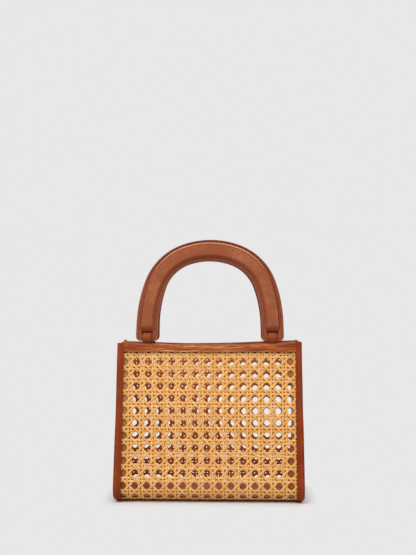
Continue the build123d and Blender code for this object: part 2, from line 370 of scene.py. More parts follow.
# Cane webbing: hole lattice with paired upright and level strands and single slanting ones
weave = {
    "pitchX": 12.63,         # hole to hole across
    "pitchS": 13.11,         # hole to hole down the wall
    "frontColumn": -77.8,    # centre of one hole on the front wall
    "frontRow": 20.18,
    "backColumn": 0.5,       # and on the back wall, its row measured from the back rim
    "backRow": 93.15,
    "backPitchX": 12.6,
    "backPitchS": 13.25,
    "backSkew": 0.025,       # sideways for each millimetre down the back wall, nothing at skewRow
    "skewRow": 80.0,
    "pairHalf": 1.72,        # a pair's strands lie this far each side of the line between holes
    "pairWidth": 2.4,
    "slantWidth": 2.4,
    "thick": 0.62,
    "sides": 6,              # of a strand's profile
    "squareness": 0.5,       # power that makes the profile fuller
    "pairLift": 0.36,        # up or down where two strands cross
    "slantLift": 0.58,
    "slantFlat": 1.5,        # how flat a slanting strand's tops are
    "waveSize": 1.24,        # divides the crossing wave, which is then about 1 high
    "drift": 0.1,            # sideways, over driftRun
    "driftRun": 70.0,
    "toneSpread": 0.08,      # strand to strand
    "cutBark": 0.6,          # how much bark, and how much cut edge with its painted shade, shows along the two sides
    "cutEdgeAndShade": 0.5,
    "fibreSpread": 900.0,    # each strand takes its fibres from its own place in this range
    "tuck": 5.4,             # past the clear width, under the binding
    "topTuck": 5.0,          # below the rim, inside the band
    "step": 1.35,            # length of one ring's stretch
    "leastRings": 8,
    "columns": (-3, 16), "slants": (-60, 60),        # tried, and made where they fit
    "probes": 400, "leastProbes": 8,                 # points that find where a slanting strand fits
}
rowAtFlat = (flatStart - weave["frontRow"]) / weave["pitchS"]
backRowAtFlat = (weave["backRow"] - flatStart) / weave["backPitchS"]
rowsInFlat = np.round(rowAtFlat + 2 * flatHalf / weave["pitchS"] - backRowAtFlat) + backRowAtFlat - rowAtFlat
rowKnots = np.array([rowAtFlat - flatStart / weave["pitchS"], rowAtFlat, rowAtFlat + rowsInFlat,
                     rowAtFlat + rowsInFlat + flatStart / weave["backPitchS"]])
runKnots = np.array([0, flatStart, fullRun - flatStart, fullRun])
columnsOver = np.round((weave["backColumn"] - weave["frontColumn"]) / weave["pitchX"])


# Lattice numbers (holes at whole a and b) to the sheet: straight in b on the walls, and on the flat of the
# base the rows and columns slide from the front wall's places to the back wall's
def latticeSheet(a, b):
    s = np.interp(b, rowKnots, runKnots)
    share = np.clip((s - flatStart) / (2 * flatHalf), 0, 1)
    front = weave["frontColumn"] + weave["pitchX"] * a
    back = weave["backColumn"] + weave["backPitchX"] * (a - columnsOver)
    back = back + weave["backSkew"] * (fullRun - np.maximum(s, fullRun - flatStart) - weave["skewRow"])
    return front + (back - front) * share, s


def crossing(t):                         # wave at a pair crossing: down before it, up after, flat between
    return np.sin(2 * np.pi * t) * (1 + np.cos(2 * np.pi * t)) / weave["waveSize"]


def slanting(a):                         # over one kind of pair, under the other, with flat tops
    return np.tanh(weave["slantFlat"] * np.cos(2 * np.pi * a)) / np.tanh(weave["slantFlat"])


# One strand: a six-sided lens profile carried along lattice points, with its height above the sheet's middle
def strand(a, b, height, width):
    x, s = latticeSheet(a, b)
    stepX, stepS = np.gradient(x), np.gradient(s)
    run = np.hypot(stepX, stepS)
    crossX, crossS = -stepS / run, stepX / run
    along = np.concatenate([[0], np.cumsum(np.hypot(np.diff(x), np.diff(s)))])
    shiftSide = weave["drift"] * wander(along, weave["driftRun"])
    turn = np.arange(weave["sides"]) * 2 * np.pi / weave["sides"]
    across = np.sign(np.cos(turn)) * np.abs(np.cos(turn)) ** weave["squareness"] * width / 2
    lift = np.sin(turn) * weave["thick"] / 2 / np.sin(turn).max()
    offset = across[None, :] + shiftSide[:, None]
    points = wallPoint(x[:, None] + crossX[:, None] * offset, s[:, None] + crossS[:, None] * offset,
                       -bag["cane"] / 2 + height[:, None] + lift[None, :])
    ones = np.ones((len(a), 1))
    level = np.round(lift / weave["thick"], 3)       # above zero on the bark side, zero at the cut edges
    return {
        "points": points,
        "tone": chance.normal(0.5, weave["toneSpread"]) * np.ones((len(a), weave["sides"])),
        "bark": ones * np.select([level > 0, level < 0], [1.0, 0.0], weave["cutBark"]),
        # cut edge at the strand's sides, partly painted shade between strands
        "edge": ones * np.where(level == 0, weave["cutEdgeAndShade"], 0.0),
        "uv": np.stack(np.broadcast_arrays(across[None, :] + chance.uniform(0, weave["fibreSpread"]),
                                           along[:, None]), -1),
    }


# All the strands of one stretch of the sheet, between two distances from the front rim
def weavePiece(name, runLow, runHigh):
    rowLow, rowHigh = np.interp([runLow, runHigh], runKnots, rowKnots)
    reach = halfWidth + weave["tuck"]
    pairX, pairS = weave["pairHalf"] / weave["pitchX"], weave["pairHalf"] / weave["pitchS"]
    strands = []
    rings = max(int((runHigh - runLow) / weave["step"]), weave["leastRings"])
    b = np.linspace(rowLow, rowHigh, rings)
    for column in np.arange(*weave["columns"]) + 0.5:     # upright pairs
        for sign in (-1, 1):
            a = np.full(rings, column + sign * pairX)
            height = -sign * weave["pairLift"] * crossing(b - 0.5)
            if np.abs(latticeSheet(a, b)[0]).max() < reach:
                strands.append(strand(a, b, height, weave["pairWidth"]))
    ringsAcross = int(2 * reach / weave["step"])
    places = np.linspace(-reach, reach, ringsAcross)
    for row in np.arange(np.floor(rowLow) - 1, np.ceil(rowHigh) + 1) + 0.5:    # level pairs
        for sign in (-1, 1):
            level = row + sign * pairS
            if rowLow < level < rowHigh:
                middle = latticeSheet(0.0, level)[0]
                a = (places - middle) / (latticeSheet(1.0, level)[0] - middle)
                height = sign * weave["pairLift"] * crossing(a - 0.5)
                strands.append(strand(a, np.full(ringsAcross, level), height, weave["pairWidth"]))
    probes = np.linspace(rowLow, rowHigh, weave["probes"])
    for sign in (-1, 1):                                  # single slanting strands, both ways
        for order in np.arange(*weave["slants"]) + 0.5:
            inside = np.abs(latticeSheet(order + sign * probes, probes)[0]) < reach
            if inside.sum() > weave["leastProbes"]:
                start, end = probes[inside][[0, -1]]
                count = int((end - start) * weave["pitchS"] * np.sqrt(2) / weave["step"]) + 4
                b = np.linspace(start, end, count)
                a = order + sign * b
                strands.append(strand(a, b, sign * weave["slantLift"] * slanting(a), weave["slantWidth"]))
    quads, start = [], 0
    for one in strands:
        quads.append(tubeQuads(len(one["points"]), weave["sides"]) + start)
        start += one["points"].shape[0] * weave["sides"]
    joined = {}
    for key in strands[0]:
        rows = [one[key].reshape(len(one["points"]) * weave["sides"], -1) for one in strands]
        joined[key] = np.concatenate(rows)
    quads = np.concatenate(quads)
    print(name, len(strands), "strands,", 2 * len(quads), "triangles")
    return newPiece(name, joined["points"], quads, [cane], None, joined["tone"], joined["uv"],
                    {"bark": joined["bark"], "edge": joined["edge"]})


settle(weavePiece("front_weave", weave["topTuck"], slopeRun), "bag", ["front_cane_panel"])
settle(weavePiece("base_weave", slopeRun, fullRun - slopeRun), "bag", ["base_cane_panel"])
settle(weavePiece("back_weave", fullRun - slopeRun, fullRun - weave["topTuck"]), "bag",
       ["back_cane_panel"])

# Stitching: short thread lengths that rise from one hole and dip into the next
stitch = {
    "pitch": 2.8,            # hole to hole
    "gap": 0.07,             # left at each end of a stitch, as a share of the pitch
    "radius": 0.4,
    "endRadius": 0.25,       # share of the radius
    "lift": 0.12,            # of a stitch's middle, above its ends
    "sink": 0.12,            # of its ends, below the holes' mouths
    "hole": (0.12, 0.4),     # shares of its length between which the painted shade of the hole ends
    "rings": 6, "sides": 6,
}


# Each stitch is a capsule between two holes, bowed up along the normal: radius follows a flat-topped arch
def stitchRun(name, holes, normals, body):
    t = np.linspace(0, 1, stitch["rings"])
    first = holes[:-1] * (1 - stitch["gap"]) + holes[1:] * stitch["gap"]
    last = holes[1:] * (1 - stitch["gap"]) + holes[:-1] * stitch["gap"]
    up = (normals[:-1] + normals[1:]) / 2
    up = up / np.linalg.norm(up, axis=1, keepdims=True)
    ahead = last - first
    sideways = np.cross(ahead, up)
    sideways = sideways / np.linalg.norm(sideways, axis=1, keepdims=True)
    bow = stitch["lift"] * (1 - (2 * t - 1) ** 2) - stitch["sink"]
    thick = stitch["radius"] * (stitch["endRadius"] + (1 - stitch["endRadius"]) * (1 - (2 * t - 1) ** 4))
    turn = np.arange(stitch["sides"]) * 2 * np.pi / stitch["sides"]
    line = first[:, None] + ahead[:, None] * t[None, :, None] + up[:, None] * bow[None, :, None]
    ring = up[:, None] * np.cos(turn)[None, :, None] + sideways[:, None] * np.sin(turn)[None, :, None]
    points = line[:, :, None] + ring[:, None] * thick[None, :, None, None]
    one = tubeQuads(stitch["rings"], stitch["sides"])
    start = np.arange(len(first)) * stitch["rings"] * stitch["sides"]
    quads = (one[None] + start[:, None, None]).reshape(-1, 4)
    # painted shade where the thread dips into its holes
    holeShadeShare = smooth(0.5 - np.abs(t - 0.5), *stitch["hole"])
    tone = np.broadcast_to(holeShadeShare[None, :, None], points.shape[:3])
    settle(newPiece(name, points, quads, [thread], None, tone), body)


# Edge binding: one folded strip down the front, under the base and up the back
binding = {
    "width": 7.8,
    "depth": 6.0,            # front skin to back skin of the fold
    "fold": 2.2,             # rounding of the fold's outer skin
    "inset": 2.1,            # the inner leg starts this far outside the gusset's wall
    "head": {-1: -0.2, 1: 1.2},          # above the rim, left and right
    "rimTrim": 1.4,          # narrower by this at the rim
    "rimLap": {-1: 0.9, 1: 0.5},         # further in over the cane at the rim, left and right
    "footFlare": 0.7,        # wider by this low down
    "footTuck": 2.0,         # and narrower by this under the base
    "waver": 0.12, "waverRun": 130.0,    # unevenness of the width, and its length
    "puff": 0.3,
    "frontFrom": -0.5,       # the skin proud of this is the front leg
    "legGrid": (0, 0.5, 1.3, 1.8, 2.3, 2.8, 3.4, 4.4), "legSpan": 5.6,    # closer at the seam
    "runs": (60, 24, 20),    # points down a wall, round a bend and under the base
    "seam": 2.3,             # stitches from the inner edge
    "seamEnd": 3.0,          # and from the rims
    "seamSink": (0.12, 0.44),            # of the holes, on the walls and under the base
    "seamAim": 3.0,          # stitches bow towards points this proud of the cane
    "dent": 0.3, "dentWidth": 0.6,       # along the seam
    "tone": 0.62,
    "edgeTone": 0.32, "seamTone": 0.3, "seamToneWidth": 0.7,      # what edge and seam take off
    "edgeFrom": 0.45, "edgeSpan": (0.5, 1.15),            # share of the width, and of the way to each side
    "toneWaver": 0.06, "toneRun": 60.0,
}


# Profile of the fold as two skins: a leg in front, a quarter round, the edge, a quarter round, a leg behind
def bindingProfile():
    quarter = np.linspace(0, np.pi / 2, 6)
    thick, outer = bag["leather"], binding["fold"]
    front, behind = thick, thick - binding["depth"]
    corner = binding["width"] - outer
    leg = np.array(binding["legGrid"]) / binding["legSpan"] * corner
    tail = np.linspace(corner, binding["inset"], 5)[1:]
    skins = []
    for radius, cover in ((outer, 0.0), (outer - thick, thick)):
        across = np.concatenate([leg, corner + radius * np.sin(quarter),
                                 corner + radius * np.cos(quarter), tail])
        proud = np.concatenate([np.full(len(leg), front - cover), front - outer + radius * np.cos(quarter),
                                behind + outer - radius * np.sin(quarter),
                                np.full(len(tail), behind + cover)])
        skins.append((across, proud))
    return skins


def rimShare(s):                         # 1 at a rim, falling evenly to 0 midway under the base
    return 1 - np.clip(2 * fromRim(s) / fullRun, 0, 1)


# Profile carried from rim to rim. Its width wavers, is trimmed towards the rims, flares low on the walls and
# is tucked under the base; the front leg swells a little, laps in at the rims and is dented along the seam
def makeBinding(name, side):
    s = runGrid(-binding["head"][side], *binding["runs"])
    down, nearRim = fromRim(s), rimShare(s)
    flare = binding["waver"] * wander(s, binding["waverRun"]) - binding["rimTrim"] * nearRim
    flare = flare + binding["footFlare"] * smooth(down, slopeRun / 3, slopeRun)
    flare = flare - binding["footTuck"] * smooth(down, slopeRun + bendRun / 2, flatStart)
    puffed = 1 - smooth(down, slopeRun, flatStart)       # none under the base, which stands on the binding
    sheets = []
    for across, proud in bindingProfile():
        inFront = proud > binding["frontFrom"]
        spread = smooth(across, 0, binding["width"])
        puff = binding["puff"] * np.sin(np.pi * np.clip(across / binding["width"], 0, 1)) * inFront
        dent = -binding["dent"] * bell(across - binding["seam"], binding["dentWidth"]) * inFront
        inward = binding["rimLap"][side] * nearRim[:, None] * ((1 - spread) * inFront)[None]
        x = side * (halfWidth + across[None] + spread[None] * flare[:, None] - inward)
        sheets.append(wallPoint(x, s[:, None], proud[None] + dent[None] + puff[None] * puffed[:, None]))
    across = bindingProfile()[0][0]
    edge = smooth(np.abs(across / binding["width"] - binding["edgeFrom"]) * 2, *binding["edgeSpan"])
    seam = bell(across - binding["seam"], binding["seamToneWidth"])
    tone = binding["tone"] - binding["edgeTone"] * edge - binding["seamTone"] * seam
    tone = tone[None] + binding["toneWaver"] * wander(s, binding["toneRun"])[:, None]
    piece = slab(name, sheets[0], sheets[1], [bindingLeather, edgePaint], None, tone)
    settle(piece, "bag", [name.replace("_leather", "")])
    run = np.arange(binding["seamEnd"], fullRun - binding["seamEnd"], stitch["pitch"])
    inward = binding["rimLap"][side] * rimShare(run) * (1 - smooth(binding["seam"], 0, binding["width"]))
    x = side * (halfWidth + binding["seam"] - inward)
    onWall, underBase = binding["seamSink"]
    sunk = onWall + (underBase - onWall) * smooth(fromRim(run), slopeRun, flatStart)
    holes = wallPoint(x, run, bag["leather"] - sunk)
    stitchRun(name + "_stitches", holes, wallPoint(x, run, binding["seamAim"]) - holes, "bag")


makeBinding("left_edge_binding_leather", -1)
makeBinding("right_edge_binding_leather", 1)
print("bindings made")

# Base lining: a stiff sheet on the cane, with its long edges up the bends
lining = {
    "thick": 2.0,
    "wrap": (72.0, 34.0),    # degrees up the front and the back bend
    "clear": 0.3,            # to the gussets
    "columns": 75, "rows": 40,
    "ripple": 0.14, "rippleX": 90.0, "rippleRun": 60.0,
    "tone": 0.3, "flatPaintedLight": 0.25, "rippleTone": 0.8,     # at the edge, and what flat and ripples add; the flat's share is painted light, lighter than the bends
    "toneRun": 8.0,          # past the start of the flat, where the lighter tone is full
}
wrapRun = np.deg2rad(lining["wrap"]) * bag["bendRadius"]

# Gusset: a leather wall inside the binding, with its edge turned out behind the cane
gusset = {
    "leather": 1.2,
    "rows": 60, "columns": 33, "rowPower": 1.25,          # rows are closer near the base
    "bow": 1.1,              # slack of the wall, inwards
    "bowFrom": 60.0,         # height where the slack is full
    "slowWave": 210.0, "slowShare": 0.4,                  # unevenness of the slack up the wall
    "fineWave": 1.25, "fineBow": 0.1,                     # and across it, in half depths
    # painted shade towards the wall's front and back edges, in the corners against the cane, and painted
    # light near its open top
    "tone": 0.5, "sideShade": 0.16, "topPaintedLight": 0.1, "topFrom": 120.0,
    "turned": (0.2, 5.0), "turnedBehind": 0.02,           # edge turned out, from and to; gap to the cane
    "runs": (40, 16, 12),    # points down a wall, round a bend and under the base
    "rawStart": 3.0, "rawEnd": 2.8,                       # cut end, below and above the back rim
    "raw": (0.1, 3.8), "rawBehind": 0.06,
    "stripTop": 12.2, "stripFoot": 0.5,                   # seam edge from the rim, and above the lining
    "stripWidth": {-1: 5.3, 1: 1.4},                      # on the front and the back wall
    "stripIn": 0.05, "stripBehind": 0.05, "stripDepth": 0.9,
    "stripMore": {(1, -1): 4.2},                          # broader on the right front, in two stretches
    "moreUntil": (32, 46), "moreFrom": (100, 122),
    "stripTone": {-1: 1.0, 1: 0.55},                      # left and right
    "stripFade": ((0.5, 72, 96), (0.4, 140, 147)),        # how much darker, and between which runs
    "hem": 4.0, "hemSink": 0.1,                           # stitches below the top edge, and into the leather
}
gussetLow = bag["leather"] + bag["cane"]
gussetHigh = bag["leather"] + bag["wallHeight"] - bag["cane"] * np.sin(lean)


# Half the depth between the cane's inner faces at a height: the bend's circle, and the leaning wall above it
def insideReach(z):
    inner = bag["bendRadius"] - bag["cane"]
    fall = np.clip(bag["leather"] + bag["bendRadius"] - z, -inner, inner)
    onBend = flatHalf + np.sqrt(np.maximum(inner ** 2 - fall ** 2, 0))
    bendTop = bag["leather"] + bag["bendRadius"] + inner * np.sin(lean)
    onWall = flatHalf + inner * np.cos(lean) - (z - bendTop) * np.tan(lean)
    return np.where(z < bendTop, onBend, onWall)


# Wall: rows up the bag, each from front to back between the inner faces of the cane; bowed like a slack sheet
def makeGussetWall(name, side):
    z = gussetLow + (gussetHigh - gussetLow) * np.linspace(0, 1, gusset["rows"]) ** gusset["rowPower"]
    across = np.linspace(-1, 1, gusset["columns"])
    slack = (1 - across[None] ** 2) ** 2 * smooth(z, gussetLow, gusset["bowFrom"])[:, None]
    slow = 1 - gusset["slowShare"] + gusset["slowShare"] * wander(z, gusset["slowWave"])
    fine = gusset["fineBow"] * wander(across, gusset["fineWave"])
    bow = gusset["bow"] * slack * slow[:, None] + slack * fine[None]
    sheets = []
    for out in (0.0, gusset["leather"]):
        x = side * (halfWidth + out - bow)
        y = across[None] * insideReach(z)[:, None]
        sheets.append(np.stack(np.broadcast_arrays(x, y, z[:, None]), -1))
    # painted light near the open top, and below it painted shade towards the front and back edges
    atTop = smooth(z, gusset["topFrom"], gussetHigh)
    tone = gusset["tone"] - gusset["sideShade"] * np.abs(across[None]) ** 3
    tone = tone + gusset["topPaintedLight"] * atTop[:, None]
    wall = slab(name + "_wall", sheets[1], sheets[0], [gussetLeather, edgePaint], None, tone)
    settle(wall, "bag", [name])


# Strips along the cane's inner face, each two skins a set depth behind its outer face: the turned edge under
# the binding, its cut end at the back rim, and the seam's edge laid on the inside of each wall
def makeGussetEdges(name, side):
    s = runGrid(0, *gusset["runs"])[:, None]
    x = side * (halfWidth + np.linspace(*gusset["turned"], 6))[None]
    covers = (gusset["turnedBehind"], gusset["leather"])
    skin = [wallPoint(x, s, -bag["cane"] - cover) for cover in covers]
    turned = slab(name + "_turned_edge", skin[0], skin[1], [gussetLeather, edgePaint])
    settle(turned, "bag")
    s = np.linspace(fullRun - gusset["rawStart"], fullRun + gusset["rawEnd"], 6)[:, None]
    x = side * (halfWidth + np.linspace(*gusset["raw"], 4))[None]
    covers = (gusset["rawBehind"], gusset["leather"] - gusset["rawBehind"])
    skin = [wallPoint(x, s, -bag["cane"] - cover) for cover in covers]
    settle(slab(name + "_raw_end", skin[0], skin[1], [rawEdge]), "bag")
    s = np.linspace(gusset["stripTop"], flatStart - wrapRun.max() - gusset["stripFoot"], 40)[:, None]
    for face, label in ((-1, "_front_seam_edge"), (1, "_back_seam_edge")):
        more = gusset["stripMore"].get((side, face), 0.0)
        wide = gusset["stripWidth"][face]
        wide = wide + more * (1 - smooth(s, *gusset["moreUntil"]) + smooth(s, *gusset["moreFrom"]))
        x = side * (halfWidth - gusset["stripIn"] - wide * np.linspace(0, 1, 5)[None])
        covers = (gusset["stripBehind"], gusset["stripDepth"])
        skin = [mirrored(wallPoint(x, s, -bag["cane"] - cover), face) for cover in covers]
        tone = np.full(x.shape, gusset["stripTone"][side])
        for darker, start, end in gusset["stripFade"]:
            tone = tone - darker * smooth(s, start, end)
        strip = slab(name + label, skin[0], skin[1], [gussetLeather, edgePaint], None, tone)
        settle(strip, "bag")


# Hem: a level row of stitches below the top edge, on both faces of the wall
def makeGussetHem(name, side):
    reach = insideReach(gussetHigh)
    run = np.linspace(-1, 1, int(2 * reach / stitch["pitch"]))[1:-1] * reach
    outer, inner = gusset["leather"] - gusset["hemSink"], gusset["hemSink"]
    for label, out, facing in (("_hem_stitches", outer, side), ("_inner_hem_stitches", inner, -side)):
        holes = np.stack(np.broadcast_arrays(side * (halfWidth + out), run, gussetHigh - gusset["hem"]), -1)
        up = np.zeros_like(holes)
        up[:, 0] = facing
        stitchRun(name + label, holes, up, "bag")


for name, side in (("left_gusset", -1), ("right_gusset", 1)):
    makeGussetWall(name, side)
    makeGussetEdges(name, side)
    makeGussetHem(name, side)


# Sheet on the cane from one wrapped edge to the other: a plain lower face, and a rippled one above it
def makeLining():
    s = np.linspace(flatStart - wrapRun[0], fullRun - flatStart + wrapRun[1], lining["rows"])[:, None]
    x = np.linspace(-1, 1, lining["columns"])[None] * (halfWidth - lining["clear"])
    ripple = lining["ripple"] * wander(x, lining["rippleX"]) * wander(s, lining["rippleRun"])
    upper = wallPoint(x, s, -bag["cane"] - lining["thick"] + ripple)
    # painted light: the flat of the base lighter than the wrapped edges
    onFlat = smooth(s, flatStart - wrapRun[0] / 2, flatStart + lining["toneRun"])
    tone = lining["tone"] + lining["flatPaintedLight"] * onFlat + lining["rippleTone"] * ripple
    lower = wallPoint(x, s, -bag["cane"])
    piece = slab("base_lining_sheet", upper, lower, [liningLeather, edgePaint], None, tone)
    settle(piece, "bag", ["base_lining"])


makeLining()
print("gussets and lining made")

# Handle: an arch of tangent arcs, sizes on its middle line; the pivot is the swing joint's
handle = {
    "width": 24.0,
    "arcs": ((78.0, 20.0), (54.0, 50.0), (138.0, 18.0)),  # crown, shoulder and flank: radius and degrees
    "legRun": 19.0,
    "facing": 1.7, "backing": 1.7,                        # the two leathers
    "endRadius": 4.6,
    "clear": 0.2,            # to the middle plane, where the two handles lean together
    "side": {-1: 0.7, 1: -0.3},                           # front and back crown, to the right
    "sideEase": 0.8, "sideFrom": 60.0,                    # share of it lost down the right leg, from here
    "tabInset": (1.1, 0.5),                               # tabs in from the slots' middles, left and right
    "change": (25.0, 105.0),                              # crown sizes turn into leg sizes between these runs
    "outerSeam": (1.3, 2.6), "outerFoot": (2.6, 4.5),     # in from the outer edge, at the crown and the leg
    "outerBrow": (4.5, 5.9),
    "trim": (1.1, 0.5), "innerSeam": (1.6, 2.0),          # in from the inner edge
    "innerFoot": (3.2, 3.9), "innerBrow": (6.8, 6.9),
    "padRise": 2.3, "padCrown": 0.25, "crownHalf": 6.0,
    "padSetback": 11.8, "endSlope": 4.2,                  # from the leg's end
    "softness": 0.6,                                      # of the pad's foot and brow, 0 for a plain ramp
    "endSeam": 2.3, "seamTurn": 4.0, "seamCorner": 3.0,   # seam round the leg's end
    "seamDent": 0.2, "seamWidth": 0.5, "seamSink": (0.15, 0.05),
    "seamStretch": (1.12, 0.86),                          # outer and inner seam, against the middle line
    "seamSquare": (0.35, 0.6),                            # powers that square the corners of its U
    "edgeDrop": 0.3, "edgeWidth": 0.8, "backEdge": 1.4,   # rounding of the cut edges
    "bar": 6.0, "slotFoot": 6.2, "slotWidth": 12.6, "slotHeight": 4.8, "slotBehind": 2.5, "slotCorner": 1.6,
    "rows": (9, 9, 5, 6, 52),                             # foot, slot, above it, pad's end slope, the rest
    "columns": (5, 4, 6, 12, 5, 4, 5),                    # between the lines along the leather
}
swing = {joint["name"]: joint for joint in frame["joints"]}
pivot = np.array(swing["front_handle_swing"]["pos_m"]) / mm
arcs = [(radius, np.deg2rad(turn)) for radius, turn in handle["arcs"]]
armRun = sum(radius * turn for radius, turn in arcs) + handle["legRun"]


# Middle line of the arch at distance d from its crown: each arc adds its own chord, then the straight leg.
# Returns the sideways place, the drop below the crown and the direction's turn
def archLine(d):
    left = np.abs(d)
    x, drop, turned = np.zeros_like(left), np.zeros_like(left), np.zeros_like(left)
    for radius, turn in arcs:
        part = np.clip(left / radius, 0, turn)
        x = x + radius * (np.sin(turned + part) - np.sin(turned))
        drop = drop + radius * (np.cos(turned) - np.cos(turned + part))
        turned = turned + part
        left = left - part * radius
    return np.sign(d) * (x + left * np.cos(turned)), drop + left * np.sin(turned), turned


barLine = archLine(np.array([armRun - handle["bar"] / 2]))
tabX, crownHeight = barLine[0][0], barLine[1][0]
tabPlaces = {-1: handle["tabInset"][0] - tabX, 1: tabX - handle["tabInset"][1]}
leanRoom = -pivot[1] - handle["backing"] - handle["clear"]
handleLean = np.arcsin(leanRoom / (crownHeight + handle["width"] / 2))


# Point of a handle: d along the arch, u outside its middle line, p proud of the seam between its two leathers
def handlePoint(d, u, p, face):
    d, u, p = np.broadcast_arrays(np.asarray(d, float), u, p)
    x, drop, turned = archLine(d)
    height = crownHeight - drop + u * np.cos(turned)
    y = pivot[1] + height * np.sin(handleLean) - p * np.cos(handleLean)
    z = pivot[2] + height * np.cos(handleLean) + p * np.sin(handleLean)
    side = handle["side"][face] * (1 - handle["sideEase"] * smooth(d, handle["sideFrom"], armRun))
    return np.stack([x + side + np.sign(d) * u * np.sin(turned), face * -y, z], -1)


def legShare(d):                         # 0 at the crown, 1 on the legs
    return smooth(np.abs(d), *handle["change"])


def slide(key, d):                       # a size that changes from the crown to the legs
    crown, leg = handle[key]
    return crown + (leg - crown) * legShare(d)


# Lines along a handle leather, from its inner edge to its outer one: edge, seam, pad's foot, pad's brow and
# the same back. Beside a slot the two brows run down its sides, drawn in by a circle's arc at the top
def handleLines(d, end, slotTop):
    half, rounding = handle["width"] / 2, handle["slotCorner"]
    inner = slide("trim", d) - half
    corner = np.clip(end - slotTop + rounding, 0, rounding)
    slotHalf = handle["slotWidth"] / 2 - rounding + np.sqrt(rounding ** 2 - corner ** 2)
    above = smooth(end, slotTop, handle["padSetback"])
    browIn = -slotHalf + (inner + slide("innerBrow", d) + slotHalf) * above
    browOut = slotHalf + (half - slide("outerBrow", d) - slotHalf) * above
    return np.stack([inner, inner + slide("innerSeam", d), inner + slide("innerFoot", d), browIn, browOut,
                     half - slide("outerFoot", d), half - slide("outerSeam", d), half + 0 * d], -1)


# Grid of a handle leather between those lines; rows are closer at the leg ends, whose corners are rounded.
# Returns each point's place on the arch and from the leg's end, the lines, and the cells outside the slots
def handleGrid(slotHeight):
    steps = handle["columns"]
    foot, pad = handle["slotFoot"], handle["padSetback"]
    slotTop = foot + slotHeight
    marks = [0, foot, slotTop, pad, pad + handle["endSlope"], armRun]
    spans = [np.linspace(low, high, n)[1:] for low, high, n in zip(marks[:-1], marks[1:], handle["rows"])]
    e = np.concatenate([[0.0], *spans])
    e = np.concatenate([e, e[-2::-1]])
    sign = np.concatenate([np.full(len(e) // 2, -1.0), [0.0], np.full(len(e) // 2, 1.0)])
    lines = handleLines(sign * (armRun - e), e, slotTop)
    spans = [lines[:, k:k + 1] + (lines[:, k + 1:k + 2] - lines[:, k:k + 1]) * np.arange(n) / n
             for k, n in enumerate(steps)]
    u = np.concatenate([*spans, lines[:, -1:]], 1)
    radius = handle["endRadius"]
    corner = np.maximum(radius - np.minimum(u - lines[:, :1], lines[:, -1:] - u), 0)
    rounded = radius - np.sqrt(np.maximum(radius ** 2 - corner ** 2, 0))
    end = e[:, None] + rounded * np.clip(1 - e[:, None] / foot, 0, 1)
    middleE = (e[:-1] + e[1:]) / 2
    inSlot = (middleE > foot) & (middleE < slotTop)
    across = np.arange(sum(steps))
    between = (across >= sum(steps[:3])) & (across < sum(steps[:4]))
    return sign[:, None] * (armRun - end), u, end, lines, ~(inSlot[:, None] & between[None])


# Tone of the padded leather: darker at the edges, seams and crown flanges, with painted shade and painted
# highlight on the pad's slopes, feet and brows, and painted shade over the slots
padTone = {
    "plain": 0.5,
    "crownFlange": -0.24, "innerPart": 0.5,               # darker on the crown's flanges, less on the inner one, where it is painted shade under the pad
    # foot: painted shade in the creases at the pad's feet
    "edge": -0.12, "foot": -0.32, "footWidth": 0.4, "seam": -0.2,
    "brow": {-1: (0.0, -0.3), 1: (0.08, -0.38)},          # painted shade along the brow at the crown, painted highlight along it on the right leg: left and right, everywhere and more at the crown
    "browIn": 0.5, "browWidth": (0.7, 0.45),              # inside its line; on the legs and at the crown
    "outerSlopeHighlightAndShade": (-0.16, 0.7), "innerSlopeShade": -0.1,       # outer slope: painted shade down the legs, painted highlight more at the crown; inner slope: painted shade
    "slopeFrom": (0.5, 1.5),                              # of the end slope's run
    "shadeOverSlot": -0.22, "overRun": (1.2, 5.0),             # painted shade, below and above the slot's top
    "overSide": (-0.5, 0.5),                              # inside the pad's feet
    "waver": 0.02, "waverRun": 120.0,
}


